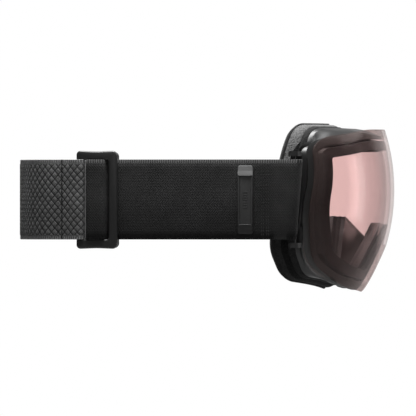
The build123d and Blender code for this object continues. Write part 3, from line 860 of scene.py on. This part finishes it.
def rear_line():
    """The rear strap from the loop on one slider to the loop on the other, seen from above."""
    place = strap_place(1)
    local = [(SEAM_S + 2.4, REAR_N - PITCH, 0), (REAR_BAR_S + 8.0, REAR_N - PITCH, 10.0),
             (REAR_BAR_S + 1.8, SLIDER_N - REAR_LOOP_R, 6.0),
             (REAR_BAR_S - REAR_LOOP_R, SLIDER_N - REAR_LOOP_R, REAR_LOOP_R - 0.1),
             (REAR_BAR_S - REAR_LOOP_R, SLIDER_N + REAR_LOOP_R, REAR_LOOP_R - 0.1),
             (REAR_BAR_S + 1.8, SLIDER_N + REAR_LOOP_R, 6.0), (REAR_BAR_S + 8.0, REAR_N, 10.0),
             (SEAM_S + 8.1, REAR_N, 16.0)]
    half = [(*place(s, n), r) for s, n, r in local] + [(64.5, 178.2, 26.0), (40.0, REAR_Y, 120.0)]
    return fine(half + [(-x, y, r) for x, y, r in reversed(half)], 0.55)[::-1]


def rear_length():
    line = rear_line()
    return sum(math.dist(a, b) for a, b in zip(line, line[1:]))


def make_rear_strap(material):
    line = rear_line()
    total = rear_length()

    def relief(along, across):
        inner = min(along, total - along)
        return diamonds(along - total / 2, across) if inner > PLAIN else 0.0

    strap = webbing("webbing_rear", line, lambda x, y: (x, y), material, relief=relief, rows=96)
    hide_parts("rear_strap")
    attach(strap, "rear")


# ---------------------------------------------------------------- small parts
def block(name, place, s_range, z_range, n_range, material, corner=0.0, edge=0.3, segments=3, slope=0.0):
    """A plate in the strap's plane with rounded corners and bevelled edges."""
    (s0, s1), (z0, z1), (n0, n1) = s_range, z_range, n_range
    outline, _ = rounded([(s0, z0, corner), (s1, z0, corner), (s1, z1, corner), (s0, z1, corner)], step=0.4)
    count = len(outline)
    verts = [(*place(s, n0), z) for s, z in outline]
    verts += [(*place(s, n1 - slope * (z - z0)), z) for s, z in outline]
    faces = [tuple(range(count))[::-1], tuple(range(count, 2 * count))]
    faces += [(i, (i + 1) % count, count + (i + 1) % count, count + i) for i in range(count)]
    obj = new_object(name, verts, faces, material)
    outward_normals(obj)
    if edge:
        bevel(obj, edge, segments)
    sharpen(obj, 35)
    return obj


def join(name, objects):
    """Make several meshes one piece."""
    bm = bmesh.new()
    for obj in objects:
        bm.from_mesh(obj.data)
    mesh = bpy.data.meshes.new(name)
    bm.to_mesh(mesh)
    bm.free()
    for material in objects[0].data.materials:
        mesh.materials.append(material)
    for obj in objects:
        bpy.data.objects.remove(obj)
    piece = bpy.data.objects.new(name, mesh)
    bpy.context.scene.collection.objects.link(piece)
    return piece


def make_slider(hand, side, material):
    """Three-bar buckle: a plate with a window, waisted top and bottom edges, and two thin bars."""
    place = strap_place(hand)
    s0, s1 = SLIDER_S, SLIDER_S + SLIDER_L
    z0 = SLIDER_MID_Z - SLIDER_H / 2
    w0, w1 = SLIDER_MID_Z - 23.6, SLIDER_MID_Z + 24.0
    window_s0 = s0 + 5.3
    middle = (s0 + s1) / 2
    outer = [(s0, z0, 3.0), (middle, z0 + 0.5, 60.0), (s1, z0, 2.4), (s1, w0, 0.0)]
    notch = [(window_s0, w0, 1.2), (window_s0, w1, 1.2)]
    corners = outer + notch + [(s, 2 * SLIDER_MID_Z - z, r) for s, z, r in reversed(outer)]
    outline, _ = rounded(corners, step=0.4)
    count = len(outline)
    verts = [(*place(s, n), z) for n in (SLIDER_N - 1.6, SLIDER_N + 1.6) for s, z in outline]
    faces = [tuple(range(count))[::-1], tuple(range(count, 2 * count))]
    faces += [(i, (i + 1) % count, count + (i + 1) % count, count + i) for i in range(count)]
    plate = new_object("plate", verts, faces, material)
    outward_normals(plate)
    bevel(plate, 1.0, 5)
    reach = (w0 - 0.6, w1 + 0.6)
    bar = block("bar", place, (s0 + 10.6, s0 + 17.1), reach, (SLIDER_N - 1.3, SLIDER_N + 1.3),
                material, 0, 0.4)
    sides = 16
    pin_verts, pin_faces = [], []
    for z in reach:
        for k in range(sides):
            a = 2 * math.pi * k / sides
            pin_verts.append((*place(REAR_BAR_S + 1.4 * math.cos(a), SLIDER_N + 1.4 * math.sin(a)), z))
    for k in range(sides):
        m = (k + 1) % sides
        pin_faces.append((k, m, sides + m, sides + k))
    pin_faces += [tuple(range(sides))[::-1], tuple(range(sides, 2 * sides))]
    pin = new_object("pin", pin_verts, pin_faces, material)
    outward_normals(pin)
    slider = join(f"buckle_{side}", [plate, bar, pin])
    sharpen(slider, 40)
    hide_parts(f"slider_{side}")
    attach(slider, f"slider_body_{side}")


BADGE_LOW, BADGE_TOP = -14.35, 26.65


def make_badge(hand, side, material):
    """Rubber badge: a raised rim round a sunk panel that carries plain cross ribs."""
    place = strap_place(hand)
    s0, s1, n0 = 24.4, 33.4, STRAP_T / 2
    z0, z1 = BADGE_LOW, BADGE_TOP
    mid = (z0 + z1) / 2
    parts = [block("pad", place, (s0, s1), (z0, z1), (n0, n0 + 1.0), material, 1.2, 0.2),
             block("head", place, (s0, s1), (z1 - 6.2, z1), (n0, n0 + 1.9), material, 1.2, 0.3, slope=0.29),
             block("foot", place, (s0, s1), (z0, z0 + 5.8), (n0, n0 + 0.5), material, 1.2, 0.3, slope=-0.19)]
    for a, b in ((s0, s0 + 1.1), (s1 - 1.1, s1)):
        parts.append(block("rail", place, (a, b), (z0 + 4.5, z1 - 5.0), (n0 + 0.6, n0 + 1.5),
                           material, 0.4, 0.3))
    ribs = 7
    for k in range(ribs):
        z = mid - 4.5 + k * 1.5
        parts.append(block("rib", place, (s0 + 3.0, s1 - 3.0), (z - 0.3, z + 0.3), (n0 + 0.8, n0 + 1.25),
                           material, 0.25, 0.12, 2))
    badge = join(f"emblem_{side}", parts)
    sharpen(badge, 40)
    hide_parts(f"badge_{side}")
    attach(badge, f"strap_{side}")


def stitches(name, place, columns, n, length, gap, material, body, node):
    """Rows of short raised threads, each a small capsule lying on the webbing."""
    verts, faces = [], []
    rings, sides, radius = 5, 6, 0.22
    low, high = STRAP_MID_Z - STRAP_H / 2 + 2.0, STRAP_MID_Z + STRAP_H / 2 - 2.0
    for s in columns:
        z = low
        while z + length < high:
            start = len(verts)
            for r in range(rings):
                t = r / (rings - 1)
                thick = radius * (0.35 + 0.65 * math.sin(math.pi * t))
                for k in range(sides):
                    a = 2 * math.pi * k / sides
                    rise = thick * (math.cos(a) * 0.8 + 0.3)
                    verts.append((*place(s + thick * math.sin(a), n + rise), z + length * t))
            for r in range(rings - 1):
                for k in range(sides):
                    m = (k + 1) % sides
                    a = start + r * sides
                    faces.append((a + k, a + m, a + sides + m, a + sides + k))
            faces.append(tuple(start + k for k in reversed(range(sides))))
            faces.append(tuple(start + (rings - 1) * sides + k for k in range(sides)))
            z += length + gap
    obj = new_object(name, verts, faces, material)
    outward_normals(obj)
    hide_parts(node)
    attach(obj, body)


def finish_cad_nodes():
    """Materials for the CAD pieces that keep their own shape."""
    table = {
        "lens_carrier": moulded_material("carrier", 0.02, 0.45, wear=0.3),
        "frame_magnets": metal_material("magnet", 0.6),
        "lens_keepers": metal_material("keeper", 0.5),
        "top_vent_foam": foam_material("vent_foam", 0.01, 0.04, 0.0015, 0.0006),
        "grip_strips": moulded_material("grip", 0.07, 0.35, 0.002, 0.1),
    }
    table["bottom_vent_foam"] = table["top_vent_foam"]
    table["outrigger_left"] = table["outrigger_right"] = moulded_material("outrigger", 0.004, 0.6)
    for node, material in table.items():
        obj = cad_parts[node]
        obj.data.materials.clear()
        obj.data.materials.append(material)
        for polygon in obj.data.polygons:
            polygon.use_smooth = True
        sharpen(obj, 30)


make_camera()
make_studio()
finish_cad_nodes()
make_lens_unit()
make_frame_shell(moulded_material("frame", 0.011, 0.38, 0.0005, 0.10, wear=0.15))
make_foam()
front = webbing_material("front_webbing", 0.004, 0.046, 1.5, 0.07, low_shade=0.25)
rear = webbing_material("rear_webbing", 0.040, 0.20, 0.9, 0.22, rear_length(), low_shade=0.7)
thread = moulded_material("thread", 0.005, 0.7, 0.0003, 0.4)
buckle = moulded_material("buckle", 0.012, 0.36, 0.0005, 0.10, wear=0.35)
# painted highlight on the badge's upward-facing head and painted shade on its downward-facing foot
badge_painted_light = [(BADGE_TOP - 6.0, BADGE_TOP + 5, 0.11), (BADGE_LOW - 5, BADGE_LOW + 5.8, 0.006)]
rubber = moulded_material("badge", 0.022, 0.45, 0.0004, 0.12, painted_light_bands=badge_painted_light)
make_rear_strap(rear)
for hand, side in ((1, "left"), (-1, "right")):
    make_front_strap(hand, side, front)
    make_slider(hand, side, buckle)
    make_badge(hand, side, rubber)
    stitches(f"bartack_{side}", strap_place(hand), (15.0, 16.1, 18.0, 19.1), STRAP_T / 2, 1.6, 0.5, thread,
             f"strap_{side}", f"anchor_stitching_{side}")
    stitches(f"seam_{side}", strap_place(hand), (SEAM_S, SEAM_S + 2.2), REAR_N + STRAP_T / 2, 1.8, 0.6,
             thread, "rear", f"rear_seam_{side}")
